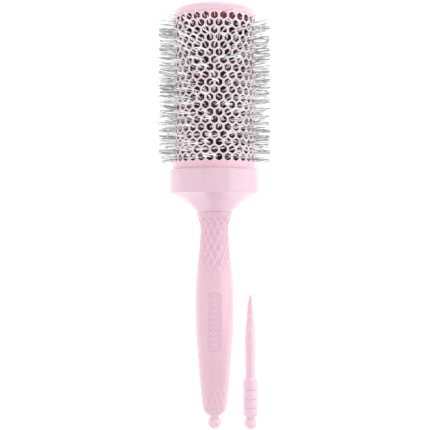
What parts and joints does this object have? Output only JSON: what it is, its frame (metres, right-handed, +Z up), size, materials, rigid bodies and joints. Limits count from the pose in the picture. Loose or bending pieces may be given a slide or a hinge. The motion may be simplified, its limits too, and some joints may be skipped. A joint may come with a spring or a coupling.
{
  "type": "round barrel brush",
  "caption": "Round hair brush: vented metal barrel with rings of bristles, flared collar, turned grip with a pull-out sectioning pick, and a loose pick beside it.",
  "frame": {"origin": "middle of the set's footprint, on the surface that it lies on", "axes": "+Y along the brush's axis, from the handle's end to the barrel's tip; +Z up"},
  "size_m": [0.076, 0.2922, 0.0759],
  "materials": {
    "pink_plastic": "satin",
    "pink_grip": "satin",
    "pink_coating": "satin",
    "liner_plastic": "matte",
    "steel_wire": "satin",
    "nylon": "satin"
  },
  "bodies": {
    "brush": {"barrel": "pink_coating", "tip_cap": "pink_plastic", "barrel_collar": "pink_plastic", "base_plug": "liner_plastic", "handle_core": "pink_plastic", "handle_grip": "pink_grip", "pick_sleeve": "liner_plastic", "wire_strand_a": "steel_wire", "wire_strand_b": "steel_wire", "bristle_ring_1": "nylon", "bristle_ring_2": "nylon", "bristle_ring_3": "nylon", "bristle_ring_4": "nylon", "bristle_ring_5": "nylon", "bristle_ring_6": "nylon", "bristle_ring_7": "nylon", "bristle_ring_8": "nylon", "bristle_ring_9": "nylon"},
    "seated_pick": {"sectioning_pick": "pink_plastic"},
    "spare_pick": {"loose_pick": "pink_plastic"}
  },
  "joints": [
    {"name": "pick_slide", "type": "slide", "parent": "brush", "child": "seated_pick", "axis": [0, -1, 0], "range_m": [0, 0.085]},
    {"name": "loose_pick_lift", "type": "slide", "parent": "brush", "child": "spare_pick", "axis": [0, 0, 1], "range_m": [0, 0.1]}
  ]
}
